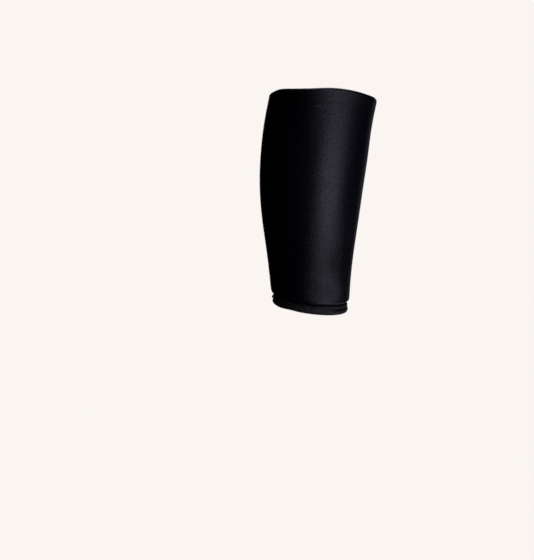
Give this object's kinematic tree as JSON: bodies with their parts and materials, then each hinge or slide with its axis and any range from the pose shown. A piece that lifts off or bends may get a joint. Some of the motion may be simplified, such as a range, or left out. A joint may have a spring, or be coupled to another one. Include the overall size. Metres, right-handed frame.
{
  "type": "calf cooling sleeve",
  "caption": "Gel-padded stretch sleeve for the calf: a tapered hollow tube with a stitched fold-over top hem, a rolled lower lip and a soft turned cuff below it, worn to cool the lower leg.",
  "frame": {"origin": "on the axis of the hollow, near mid-length, where the wearer's calf sits", "axes": "+Z along the limb towards the knee, +X towards the shin, -Y towards the outer side of the leg"},
  "size_m": [0.1335, 0.1218, 0.2598],
  "materials": {
    "satin_stretch": "black satin-faced stretch jersey over a gel layer, fine vertical knit wales, soft broad sheen",
    "cuff_knit": "black matt stretch knit, soft rolled edge"
  },
  "bodies": {
    "root": {"outer_sleeve": "satin_stretch", "lower_cuff": "cuff_knit"}
  },
  "joints": []
}
